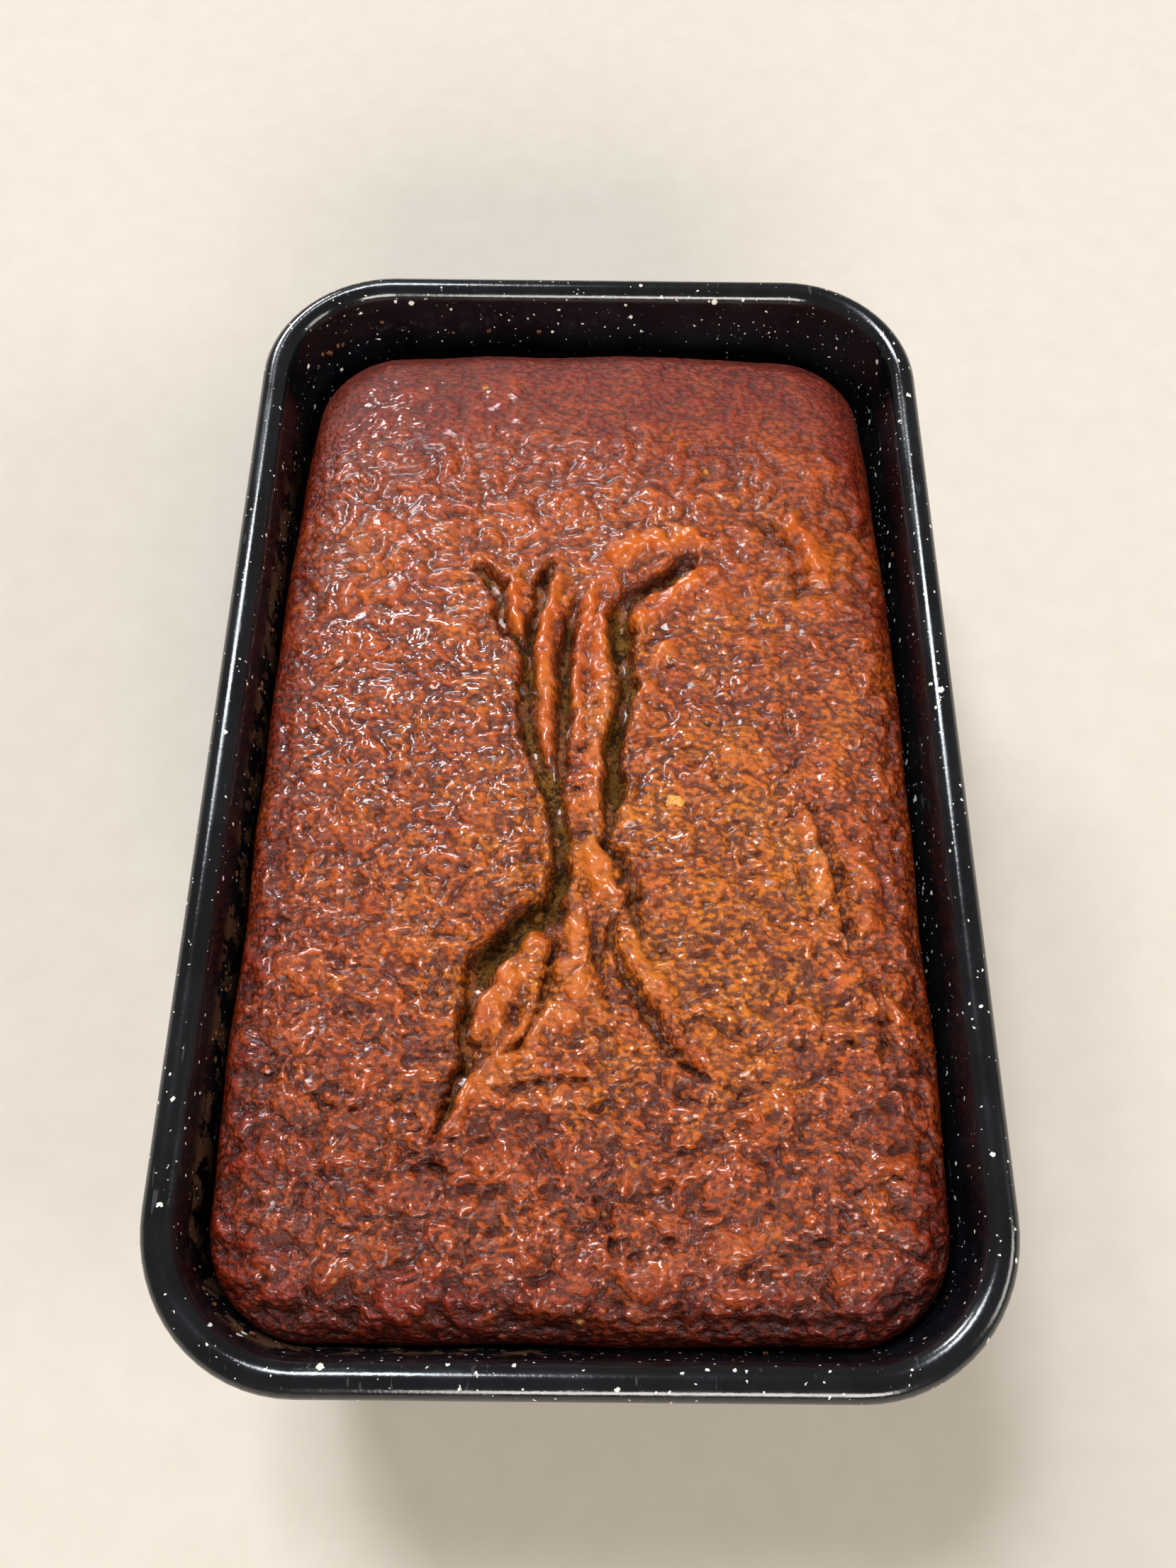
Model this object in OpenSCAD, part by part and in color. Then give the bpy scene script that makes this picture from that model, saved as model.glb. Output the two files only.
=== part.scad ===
// Banana bread in a speckled non-stick loaf tin.
// Frame: +Z up, X across the tin, Y along it, origin at the centre of the base, on the surface it stands on.
// The tin is one pressed sheet whose lip is rolled outwards around a wire. The loaf stands in it and lifts out.

/* [Tin] */
// Length over the rolled rim
tin_length = 232; // [200:1:300]
// Width over the rolled rim
tin_width = 145; // [125:1:170]
// Height from the table to the top of the rim
tin_height = 66; // [58:1:90]
// Radius of the rim's outer corners, seen from above
corner_radius = 28; // [27:1:34]
// Lean of the walls from upright, in degrees
wall_lean = 7.5; // [5:0.5:8]
// Thickness of the steel sheet
sheet = 0.6; // [0.5:0.1:1]
// Outer diameter of the rolled rim
rim_diameter = 6; // [5:0.5:7]
// Radius between wall and base, on the food side
base_radius = 6; // [5:0.5:7]
// Height that the middle panel of the base is pressed up
panel_rise = 1.2; // [0.6:0.1:1.5]

/* [Loaf] */
// Depth of the loaf's edge below the middle of the rim
edge_drop = 9; // [7:0.5:14]
// Rise of the rounded shoulder above the loaf's edge
shoulder_rise = 8; // [5:0.5:10]
// Width of the rounded shoulder
shoulder_width = 15; // [12:1:18]
// Further rise from the shoulder to the crown
crown_rise = 6; // [3:0.5:9]
// Gap that the loaf has shrunk from the wall, at its edge
shrink_gap = 1.5; // [1:0.1:2.5]
// Thickness of the top crust
top_crust_thickness = 2.5; // [1.5:0.1:3]
// Thickness of the crust against the tin
pan_crust_thickness = 1.5; // [1:0.1:2]

/* [Hidden] */
$fn = 96;

// The corner centres of the plan are the same at every height, so walls, rim and loaf share them.
corner_x = tin_width / 2 - corner_radius;
corner_y = tin_length / 2 - corner_radius;

// The tin's section lies in (r, z), where r is the distance out from a corner centre.
rim_r = rim_diameter / 2;
bead = [corner_radius - rim_r, tin_height - rim_r];
wall_normal = [cos(wall_lean), -sin(wall_lean)];
wall_top = bead - rim_r * wall_normal;
fillet_z = sheet + base_radius;
fillet = [wall_top.x - (wall_top.y - fillet_z) * tan(wall_lean) - base_radius / cos(wall_lean), fillet_z];
wall_foot = fillet + base_radius * wall_normal;
curl_end = -125;
panel_edge = 0.3 * fillet.x;
panel_foot = 0.6 * fillet.x;
wire_gap = 0.1;
wire_r = rim_r - sheet - wire_gap;

// The loaf's skins are lofts of rings. A ring is [r, z, shift], where shift moves the corner centres inwards.
tin_gap = 0.4;
skin_gap = 0.05;
edge_z = bead.y - edge_drop;
edge_r = wall_r(edge_z) - shrink_gap;
corner_steps = 9;
fillet_steps = 4;
shoulder_steps = 6;
crown_steps = 5;
crown_half_width = 8;
crown_inset = corner_x + edge_r - crown_half_width;

// Splits in the top crust, as [centre line, half width at its middle], seen from above.
splits = [
    [[[22, 40], [15, 34], [9, 29], [6.5, 23], [7, 17]], 1.8],
    [[[7, 18], [8, 12], [7, 4], [5.5, -5], [5.5, -13], [4.5, -23]], 1.4],
    [[[4.5, -24], [7, -27], [9, -34], [11, -40]], 0.6],
    [[[-22, 38], [-18, 32], [-16, 22], [-12, 16]], 0.7],
    [[[-12, 17], [-11.5, 8], [-10.5, -2], [-7, -11], [-4.5, -20]], 0.9],
    [[[-5, -17], [-4.5, -24], [-4.5, -31], [-8, -37]], 1.4],
    [[[-6, -35], [-12, -40], [-17, -46], [-20.5, -50]], 2.2],
    [[[-19.5, -49], [-21, -58], [-21, -67], [-25, -75]], 0.7],
    [[[-3, 27], [-4, 17], [-4, 4], [-4, -8]], 0.6],
    [[[4.5, -38], [6, -45], [11, -53], [15, -61], [21, -65]], 0.8]
];

// Lumps of banana as [x, y, depth of the centre below the crust's own surface, radius].
banana_lumps = [
    [17, -15, 0.4, 2], [-9, -36, 5, 2.2], [-38, 22, 14, 5], [-20, -62, 16, 4], [24, 48, 18, 5],
    [34, -48, 20, 4.5], [6, 8, 26, 5.5], [-30, 74, 22, 4], [40, 4, 28, 4], [-34, -20, 32, 5],
    [14, -84, 24, 4.5], [-8, 52, 34, 4.5], [28, 84, 30, 3.5], [-44, -72, 30, 3.5]
];

// Crumbs baked on to the wall above the loaf, as [side, distance along Y, height below the rim's middle, radius].
wall_crumbs = [
    [-1, -34, 4.2, 0.5], [-1, -38, 5.4, 0.7], [-1, -52, 4.6, 0.5], [-1, -63, 5.6, 0.8],
    [-1, 12, 5, 0.6], [1, -71, 4.4, 0.5], [1, 26, 5.2, 0.6], [-1, 58, 5.4, 0.5]
];

// Distance from a corner centre to the wall's food side at height z.
function wall_r(z) = wall_top.x - (wall_top.y - z) * tan(wall_lean);

// ---- Tin ----

// A strip from p to q whose thickness t lies to the right of that direction.
module strip(p, q, t) {
    d = (q - p) / norm(q - p);
    side = t * [d.y, -d.x];
    polygon([p, q, q + side, p + side]);
}

// A curved strip between two radii, from angle a up to angle b.
module bend(centre, r_in, r_out, a, b) {
    steps = ceil((b - a) / 40);
    translate(centre) intersection() {
        difference() {
            circle(r = r_out);
            circle(r = r_in);
        }
        polygon(concat([[0, 0]], [for (i = [0:steps]) let (t = a + (b - a) * i / steps) 2 * r_out * [cos(t), sin(t)]]));
    }
}

// The pressed sheet in section: raised panel, foot, corner, wall and rolled lip.
module tin_section() {
    polygon([
        [0, panel_rise], [panel_edge, panel_rise], [panel_foot, 0], [fillet.x, 0],
        [fillet.x, sheet], [panel_foot, sheet], [panel_edge, panel_rise + sheet], [0, panel_rise + sheet]
    ]);
    bend(fillet, base_radius, base_radius + sheet, -90, -wall_lean);
    strip(wall_foot, wall_top, sheet);
    bend(bead, rim_r - sheet, rim_r, curl_end, 180 - wall_lean);
}

// Carries a section round the rounded rectangle: four turned corners and four straight runs.
module carry_round() {
    for (corner = [[1, 1, 0], [-1, 1, 90], [-1, -1, 180], [1, -1, 270]])
        translate([corner.x * corner_x, corner.y * corner_y, 0])
            rotate(corner.z)
                rotate_extrude(angle = 90)
                    children();
    for (turn = [0, 180])
        rotate(turn) {
            translate([corner_x, corner_y, 0])
                rotate([90, 0, 0])
                    linear_extrude(2 * corner_y)
                        children();
            translate([-corner_x, corner_y, 0])
                rotate([90, 0, 90])
                    linear_extrude(2 * corner_x)
                        children();
        }
}

module tin_shell() {
    color([0.06, 0.065, 0.075]) {
        carry_round() tin_section();
        translate([-corner_x, -corner_y, panel_rise])
            cube([2 * corner_x, 2 * corner_y, sheet]);
    }
}

module rim_wire() {
    color([0.6, 0.6, 0.62])
        carry_round()
            translate(bead)
                circle(r = wire_r);
}

module baked_on_crumbs() {
    color([0.3, 0.14, 0.05])
        for (c = wall_crumbs) {
            z = bead.y - c[2];
            reach = corner_x + wall_r(z) - (c[3] + skin_gap) / cos(wall_lean);
            translate([c[0] * reach, c[1], z])
                sphere(r = c[3], $fn = 24);
        }
}

// ---- Loaf ----

// The outline of a ring, anticlockwise from above.
function ring(r, z, shift) = [
    for (q = [0:3], i = [0:corner_steps - 1])
        let (a = 90 * (q + i / (corner_steps - 1)))
        [
            (q == 0 || q == 3 ? 1 : -1) * (corner_x - shift) + r * cos(a),
            (q < 2 ? 1 : -1) * (corner_y - shift) + r * sin(a),
            z
        ]
];

// A closed solid through rings, capped at both ends. The rings run so that the outside lies to their right.
module loft(levels) {
    n = 4 * corner_steps;
    m = len(levels);
    polyhedron(
        points = [for (v = levels) each ring(v[0], v[1], v[2])],
        faces = concat(
            [[for (i = [0:n - 1]) i]],
            [for (k = [0:m - 2], i = [0:n - 1]) let (j = (i + 1) % n) [k * n + j, k * n + i, (k + 1) * n + i]],
            [for (k = [0:m - 2], i = [0:n - 1]) let (j = (i + 1) % n) [k * n + j, (k + 1) * n + i, (k + 1) * n + j]],
            [[for (i = [n - 1:-1:0]) (m - 1) * n + i]]
        )
    );
}

// The loaf's side and base, inset by a distance from the tin's food side, from the base up to its edge.
function side_levels(inset) =
    let (
        rho = base_radius - inset,
        tip = [edge_r - (inset - tin_gap), edge_z],
        tangent = atan2(tip.y - fillet.y, tip.x - fillet.x) - acos(rho / norm(tip - fillet))
    )
    concat(
        [[panel_edge, panel_rise + sheet + inset, 0], [panel_foot, sheet + inset, 0]],
        [
            for (i = [0:fillet_steps])
                let (a = -90 + (tangent + 90) * i / fillet_steps)
                [fillet.x + rho * cos(a), fillet.y + rho * sin(a), 0]
        ],
        [[tip.x, tip.y, 0]]
    );

// The loaf's top, lowered by drop and inset by side, from its edge up to the crown.
function top_levels(drop, side) =
    let (
        rise = shoulder_rise,
        inset = [
            for (i = [0:shoulder_steps]) shoulder_width * (1 - cos(90 * i / shoulder_steps)),
            for (i = [1:crown_steps]) shoulder_width + (crown_inset - shoulder_width) * i / crown_steps
        ],
        height = [
            for (i = [0:shoulder_steps]) rise * sin(90 * i / shoulder_steps),
            for (i = [1:crown_steps]) rise + crown_rise * (1 - pow(1 - i / crown_steps, 2))
        ]
    )
    [
        for (i = [0:len(inset) - 1])
            let (d = side + inset[i] * (1 - side / crown_inset), r = max(edge_r - d / 2, 6))
            [r, edge_z + height[i] - drop, r + d - edge_r]
    ];

function reversed(list) = [for (i = [len(list) - 1:-1:0]) list[i]];

// Height of the loaf's top above a point, along the middle of its length.
function top_z(x, y) =
    let (
        d = min(corner_x + edge_r - abs(x), corner_y + edge_r - abs(y)),
        u = min(d / shoulder_width, 1),
        v = max(0, (d - shoulder_width) / (crown_inset - shoulder_width))
    )
    edge_z + shoulder_rise * sqrt(1 - pow(1 - u, 2)) + crown_rise * (1 - pow(1 - min(v, 1), 2));

// Places its children at each banana lump, with the lump's radius in $lump.
module at_lumps() {
    for (b = banana_lumps) {
        $lump = b[3];
        translate([b[0], b[1], top_z(b[0], b[1]) - b[2]])
            children();
    }
}

module pockets() {
    at_lumps() sphere(r = $lump + skin_gap, $fn = 32);
}

// The part of a split from one point of its centre line to the next, narrowing at the split's two ends.
module split_cut(line, half) {
    last = len(line) - 1;
    width = [for (i = [0:last]) half * (0.35 + 0.65 * sin(180 * i / last))];
    across = [
        for (i = [0:last])
            let (d = line[min(i + 1, last)] - line[max(i - 1, 0)])
            [-d.y, d.x] / norm(d)
    ];
    translate([0, 0, edge_z - top_crust_thickness])
        linear_extrude(shoulder_rise + crown_rise + 2 * top_crust_thickness)
            polygon(concat(
                [for (i = [0:last]) line[i] + width[i] * across[i]],
                [for (i = [last:-1:0]) line[i] - width[i] * across[i]]
            ));
}

module crumb() {
    inset = tin_gap + pan_crust_thickness + skin_gap;
    color([0.72, 0.52, 0.27])
        difference() {
            loft(concat(
                side_levels(inset),
                [for (v = top_levels(top_crust_thickness + skin_gap, pan_crust_thickness + skin_gap)) if (v[1] > edge_z) v]
            ));
            pockets();
        }
}

module pan_crust() {
    color([0.36, 0.17, 0.07])
        loft(concat(side_levels(tin_gap), reversed(side_levels(tin_gap + pan_crust_thickness))));
}

module top_crust() {
    inner = [for (v = top_levels(top_crust_thickness, pan_crust_thickness)) if (v[1] > edge_z + skin_gap) v];
    lip = [[edge_r - pan_crust_thickness, edge_z + skin_gap, 0]];
    color([0.45, 0.19, 0.08])
        difference() {
            loft(concat(
                reversed(inner),
                lip,
                [[edge_r, edge_z + skin_gap, 0]],
                [for (v = top_levels(0, 0)) if (v[1] > edge_z + skin_gap) v]
            ));
            for (s = splits) split_cut(s[0], s[1]);
            pockets();
        }
}

module banana_pieces() {
    color([0.85, 0.62, 0.25])
        at_lumps() sphere(r = $lump, $fn = 32);
}

tin_shell();
rim_wire();
baked_on_crumbs();
crumb();
pan_crust();
top_crust();
banana_pieces();
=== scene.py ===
# %% [markdown]
# # Banana bread in a loaf tin
# A loaf stands in the dark, flecked tin it was baked in. The tin is one body. The loaf is the other:
# its crusts, crumb and banana lift out together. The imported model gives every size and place. Blender
# adds what a drawing can't hold: the split and wrinkled crust, the grain of the crumb, and the wear and
# flecks of the coating.

# %% Load the frame
import math

import bmesh
import bpy
import numpy as np
from mathutils import Matrix, Vector


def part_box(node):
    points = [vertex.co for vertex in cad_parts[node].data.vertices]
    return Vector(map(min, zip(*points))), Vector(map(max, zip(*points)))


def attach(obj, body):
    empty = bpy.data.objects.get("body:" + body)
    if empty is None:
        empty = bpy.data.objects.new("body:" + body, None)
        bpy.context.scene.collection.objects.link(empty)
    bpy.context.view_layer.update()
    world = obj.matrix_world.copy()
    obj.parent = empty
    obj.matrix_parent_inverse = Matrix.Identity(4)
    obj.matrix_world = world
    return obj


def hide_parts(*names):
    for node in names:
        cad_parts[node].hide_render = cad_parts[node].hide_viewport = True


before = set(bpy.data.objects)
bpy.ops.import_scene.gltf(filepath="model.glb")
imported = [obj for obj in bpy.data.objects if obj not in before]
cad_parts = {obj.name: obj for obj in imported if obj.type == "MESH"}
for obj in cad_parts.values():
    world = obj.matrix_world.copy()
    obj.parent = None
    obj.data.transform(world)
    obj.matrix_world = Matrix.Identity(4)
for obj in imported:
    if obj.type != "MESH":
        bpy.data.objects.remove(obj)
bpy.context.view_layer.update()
MM = 0.001

# %% [markdown]
# ## Camera
# A phone's main camera looks down on the tin from just behind its near end, at about 67 degrees. Such a
# lens sees a wide angle from close by, so the tin narrows strongly towards its far end. The camera is
# placed by its distance from the rim, and its long side is given a 36 mm sensor, as lens lengths are
# usually quoted.

# %% Place the camera
BEAD_RADIUS = 3 * MM
_, tin_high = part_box("tin_shell")
rim_middle = tin_high.z - BEAD_RADIUS

CAMERA_TILT = 90 - 66.56

camera_data = bpy.data.cameras.new("camera")
camera_data.sensor_width = 36
camera_data.lens = 27.93
camera = bpy.data.objects.new("camera", camera_data)
camera.matrix_world = (
    Matrix.Translation((0.3 * MM, -102.9 * MM, rim_middle + 213.2 * MM))
    @ Matrix.Rotation(math.radians(-0.19), 4, "Z")
    @ Matrix.Rotation(math.radians(CAMERA_TILT), 4, "X")
    @ Matrix.Rotation(math.radians(0.73), 4, "Z")
)
bpy.context.scene.collection.objects.link(camera)
bpy.context.scene.camera = camera
print("the camera stands", round(camera.location.z, 3), "m above the floor")

# %% [markdown]
# ## Light
# The real tin stands on a pale worktop near a window, behind it and to its left. That side gives the
# cool sheen on the far left of the loaf, the glints on its granules, the thin line along the rim and
# the soft shadow in front. One low lamp makes the shadow and picks out the relief. A smaller, higher
# lamp stands where the flat top of the loaf mirrors it, and makes the sheen. Two weak, warm lamps and
# the room's light fill the shadows. Strong lamps on every side would be easier, but their faint
# reflections would wash out the browns of the crust.


# %% Lamps and the room's light
def soft_lamp(name, place, size, power, color):
    """A rectangular lamp that faces the tin."""
    data = bpy.data.lights.new(name, "AREA")
    data.shape = "RECTANGLE"
    data.size, data.size_y = size
    data.energy = power
    data.color = color
    lamp = bpy.data.objects.new(name, data)
    lamp.location = place
    lamp.rotation_euler = (-Vector(place)).to_track_quat("-Z", "Y").to_euler()
    bpy.context.scene.collection.objects.link(lamp)


soft_lamp("window_low", (-3.2, 6.1, 4.0), (1.8, 1.15), 320, (0.96, 0.98, 1.0))
soft_lamp("window_high", (-1.2, 2.4, 4.25), (1.6, 1.1), 185, (0.88, 0.94, 1.0))
soft_lamp("room_front", (0.6, -4.2, 2.0), (2.4, 1.4), 185, (1.0, 0.95, 0.88))
soft_lamp("room_right", (3.2, -0.8, 1.8), (1.5, 1.2), 50, (1.0, 0.95, 0.88))

world = bpy.data.worlds.new("room")
world.use_nodes = True
world.node_tree.nodes["Background"].inputs["Color"].default_value = (1.0, 0.95, 0.88, 1)
world.node_tree.nodes["Background"].inputs["Strength"].default_value = 0.26
bpy.context.scene.world = world
bpy.context.scene.view_settings.view_transform = "Standard"
print(len(bpy.data.lights), "lamps and the room's light")

# %% [markdown]
# ## Node helpers
# Every finish below is a small network of shader nodes. These helpers keep the networks readable. One
# adds a node with its settings and links, two mix colours or numbers by a mask, and six do arithmetic.
# The next two give a noise and a number that is stored on the mesh. Two more give a finish its colour
# and roughness, and its relief. The last three make a finish, make a node group and place one.


# %% Node helpers
def add(tree, kind, inputs=None, **settings):
    """A node with settings, whose inputs are set to values or linked to other nodes' outputs."""
    made = tree.nodes.new(kind)
    for key, value in settings.items():
        setattr(made, key, value)
    for key, value in (inputs or {}).items():
        if isinstance(value, bpy.types.NodeSocket):
            tree.links.new(value, made.inputs[key])
        else:
            made.inputs[key].default_value = value
    return made


def mix_color(tree, factor, first, second):
    """Blends two colours by a mask."""
    inputs = {0: factor, 6: first, 7: second}
    return add(tree, "ShaderNodeMix", inputs, data_type="RGBA").outputs[2]


def mix_value(tree, factor, first, second):
    """Blends two numbers by a mask."""
    inputs = {0: factor, 2: first, 3: second}
    return add(tree, "ShaderNodeMix", inputs, data_type="FLOAT").outputs[0]


def sums(tree, operation, first, second=0.0):
    """One step of arithmetic on numbers."""
    return add(tree, "ShaderNodeMath", {0: first, 1: second}, operation=operation).outputs[0]


def plus(tree, first, second):
    """The sum of two numbers."""
    return sums(tree, "ADD", first, second)


def minus(tree, first, second):
    """The difference of two numbers."""
    return sums(tree, "SUBTRACT", first, second)


def times(tree, first, second):
    """The product of two numbers."""
    return sums(tree, "MULTIPLY", first, second)


def stretch(tree, value, low, high, to_low=0.0, to_high=1.0):
    """Moves a number from one range to another, and clamps it there."""
    inputs = {"Value": value, "From Min": low, "From Max": high, "To Min": to_low, "To Max": to_high}
    return add(tree, "ShaderNodeMapRange", inputs, interpolation_type="SMOOTHSTEP").outputs["Result"]


def vectors(tree, operation, first, second=(0, 0, 0)):
    """One step of arithmetic on places or colours."""
    return add(tree, "ShaderNodeVectorMath", {0: first, 1: second}, operation=operation).outputs[0]


def noise(tree, place, scale, detail, roughness=0.5):
    """A smooth noise, as a number and a colour."""
    inputs = {"Vector": place, "Scale": scale, "Detail": detail, "Roughness": roughness}
    return add(tree, "ShaderNodeTexNoise", inputs).outputs


def stored(tree, name):
    """A number that is stored on the mesh at every point."""
    return add(tree, "ShaderNodeAttribute", attribute_name=name).outputs["Fac"]


def paint(tree, shader, color, roughness):
    """Gives a finish its colour and its roughness."""
    tree.links.new(color, shader.inputs["Base Color"])
    tree.links.new(roughness, shader.inputs["Roughness"])


def roughen(tree, shader, height, strength, distance):
    """Gives a finish its fine relief."""
    made = add(tree, "ShaderNodeBump", {"Height": height, "Strength": strength, "Distance": distance})
    tree.links.new(made.outputs[0], shader.inputs["Normal"])


def new_material(name):
    """An empty finish: its tree, its Principled shader and the object's own coordinates."""
    material = bpy.data.materials.new(name)
    material.use_nodes = True
    tree = material.node_tree
    shader = tree.nodes["Principled BSDF"]
    place = add(tree, "ShaderNodeTexCoord").outputs["Object"]
    return material, tree, shader, place


def new_group(name, numbers, outputs):
    """An empty shader node group that reads a place and named numbers, and puts out named numbers."""
    group = bpy.data.node_groups.new(name, "ShaderNodeTree")
    group.interface.new_socket("Place", in_out="INPUT", socket_type="NodeSocketVector")
    for key, value in numbers.items():
        socket = group.interface.new_socket(key, in_out="INPUT", socket_type="NodeSocketFloat")
        socket.default_value = value
    for key in outputs:
        group.interface.new_socket(key, in_out="OUTPUT", socket_type="NodeSocketFloat")
    return group, add(group, "NodeGroupInput").outputs, add(group, "NodeGroupOutput").inputs


def place_group(tree, group, place, **numbers):
    """Places a group in a finish with its own values, and returns its outputs."""
    made = add(tree, "ShaderNodeGroup", node_tree=group)
    tree.links.new(place, made.inputs["Place"])
    for key, value in numbers.items():
        made.inputs[key.replace("_", " ")].default_value = value
    return made.outputs


print("node helpers are ready")

# %% [markdown]
# ## Shared effects
# Three effects turn up in more than one finish, so each is a node group that is built once. *Flecks*
# are the pale chips of a stone-look coating: a Voronoi pattern gives each cell a random number, and
# only some cells grow a small blot with a wavering edge. *Grain* is the granular surface of baked
# crumb, as a height and a mask of pores. *Patches* is slow, cloudy variation, for smudges and uneven
# baking.

# %% Shared effect: flecks
flecks, given, result = new_group("flecks", {"Spacing": 3.0, "Radius": 0.3, "Share": 0.4}, ["Mask"])
MIDDLE = (0.5, 0.5, 0.5)
waver = noise(flecks, given["Place"], 1700.0, 2.0)["Color"]
bent = vectors(flecks, "SUBTRACT", waver, MIDDLE)
bent = add(flecks, "ShaderNodeVectorMath", {0: bent, 3: 0.9 * MM}, operation="SCALE").outputs[0]
bent = vectors(flecks, "ADD", given["Place"], bent)
per_metre = sums(flecks, "DIVIDE", 1 / MM, given["Spacing"])
cells = add(flecks, "ShaderNodeTexVoronoi", {"Vector": bent, "Scale": per_metre})
chance = add(flecks, "ShaderNodeSeparateColor", {0: cells.outputs["Color"]}).outputs
size = times(flecks, sums(flecks, "DIVIDE", given["Radius"], given["Spacing"]),
            stretch(flecks, chance["Green"], 0.0, 1.0, 0.5, 1.3))
inside = sums(flecks, "LESS_THAN", cells.outputs["Distance"], size)
chosen = sums(flecks, "LESS_THAN", chance["Red"], given["Share"])
flecks.links.new(times(flecks, inside, chosen), result["Mask"])
print("flecks:", len(flecks.nodes), "nodes")

# %% Shared effect: grain
grain, given, result = new_group("grain", {"Size": 1.1, "Pores": 0.5}, ["Height", "Pores"])
per_metre = sums(grain, "DIVIDE", 1 / MM, given["Size"])
fine = noise(grain, given["Place"], times(grain, per_metre, 1.3), 4.0, 0.6)["Fac"]
beads = add(grain, "ShaderNodeTexVoronoi", {"Vector": given["Place"], "Scale": per_metre, "Smoothness": 0.2},
            feature="SMOOTH_F1")
rounded = times(grain, beads.outputs["Distance"], -0.55)
grain.links.new(plus(grain, rounded, fine), result["Height"])
slow = noise(grain, given["Place"], times(grain, per_metre, 0.25), 3.0, 0.6)["Fac"]
crowd = times(grain, minus(grain, slow, 0.5), 0.7)
wanted = times(grain, minus(grain, given["Pores"], 0.5), 0.25)
shallow = minus(grain, fine, 0.5)
opening = minus(grain, plus(grain, crowd, wanted), shallow)
grain.links.new(stretch(grain, opening, 0.04, 0.2), result["Pores"])
print("grain:", len(grain.nodes), "nodes")

# %% Shared effect: patches
patches, given, result = new_group("patches", {"Size": 20.0, "Contrast": 1.0}, ["Mask"])
per_metre = sums(patches, "DIVIDE", 1 / MM, given["Size"])
cloud = noise(patches, given["Place"], per_metre, 4.0, 0.6)["Fac"]
away = times(patches, minus(patches, cloud, 0.5), given["Contrast"])
patches.links.new(stretch(patches, away, -0.3, 0.3), result["Mask"])
print("patches:", len(patches.nodes), "nodes")

# %% [markdown]
# ## Floor
# A plain pale worktop. Its faint warm mottling keeps it from looking like paper, and stays below
# notice.

# %% Make the floor
floor_finish, tree, shader, place = new_material("pale_worktop")
clouds = place_group(tree, patches, place, Size=9.0, Contrast=1.0)["Mask"]
shader.inputs["Roughness"].default_value = 0.9
shader.inputs["Specular IOR Level"].default_value = 0.2
stone = mix_color(tree, clouds, (0.585, 0.528, 0.455, 1), (0.615, 0.558, 0.485, 1))
tree.links.new(stone, shader.inputs["Base Color"])

FLOOR_HALF = 3.0
floor_mesh = bpy.data.meshes.new("floor")
floor_mesh.from_pydata([(x * FLOOR_HALF, y * FLOOR_HALF, 0) for x, y in ((-1, -1), (1, -1), (1, 1), (-1, 1))],
                       [], [(0, 1, 2, 3)])
floor_mesh.materials.append(floor_finish)
floor = bpy.data.objects.new("floor", floor_mesh)
bpy.context.scene.collection.objects.link(floor)
print("the floor is", 2 * FLOOR_HALF, "m wide")

# %% [markdown]
# ## The tin's coating
# The sheet itself comes from the CAD model, whose rolled rim and rounded corners are already exact, so
# it only needs its finish. The coating is glossy black with off-white flecks in three sizes. Oil and
# old baking leave it blotchy, the left wall has brown stains above the loaf, and long use has rubbed
# hair scratches into it. The stains belong on the food side only. The walls lean, so that side is told
# by its distance from the corner centres, corrected for the height.

# %% The speckled coating
rim_corner = 28 * MM
corner_x = tin_high.x - rim_corner
corner_y = tin_high.y - rim_corner
WALL_LEAN = 0.1317

coating, tree, shader, place = new_material("speckled_coating")
small = place_group(tree, flecks, place, Spacing=1.5, Radius=0.17, Share=0.6)["Mask"]
middling = place_group(tree, flecks, place, Spacing=2.7, Radius=0.31, Share=0.5)["Mask"]
large = place_group(tree, flecks, place, Spacing=4.6, Radius=0.48, Share=0.25)["Mask"]
spots = sums(tree, "MAXIMUM", small, sums(tree, "MAXIMUM", middling, large))
smudges = place_group(tree, patches, place, Size=16.0, Contrast=1.3)["Mask"]
black = mix_color(tree, smudges, (0.0015, 0.0018, 0.003, 1), (0.005, 0.0058, 0.008, 1))
print("the coating has flecks in three sizes")

# %% Brown stains on the food side
FOOD_SIDE = rim_corner - 5.75 * MM
split_place = add(tree, "ShaderNodeSeparateXYZ", {0: place}).outputs
beyond = vectors(tree, "SUBTRACT", vectors(tree, "ABSOLUTE", place), (corner_x, corner_y, 1))
beyond = vectors(tree, "MAXIMUM", beyond)
outward = add(tree, "ShaderNodeVectorMath", {0: beyond}, operation="LENGTH").outputs["Value"]
lean = times(tree, minus(tree, rim_middle, split_place["Z"]), WALL_LEAN)
food_side = sums(tree, "LESS_THAN", plus(tree, outward, lean), FOOD_SIDE)
stain_low = stretch(tree, split_place["Z"], rim_middle - 14 * MM, rim_middle - 9 * MM)
stain_high = stretch(tree, split_place["Z"], rim_middle - 6 * MM, rim_middle - 1.5 * MM, 1.0, 0.0)
stain_left = stretch(tree, split_place["X"], -0.8 * tin_high.x, 0.6 * tin_high.x, 1.0, 0.3)
stain_near = stretch(tree, split_place["Y"], 0.3 * tin_high.y, 0.75 * tin_high.y, 1.0, 0.0)
blots = place_group(tree, patches, place, Size=5.0, Contrast=2.2)["Mask"]
stains = stretch(tree, times(tree, blots, stain_left), 0.42, 0.7)
for mask in (food_side, stain_low, stain_high, stain_near):
    stains = times(tree, stains, mask)
stained = mix_color(tree, times(tree, stains, 0.75), black, (0.085, 0.034, 0.012, 1))
print("stains keep within", round(FOOD_SIDE / MM, 2), "mm of the corner centres at the rim")

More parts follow.
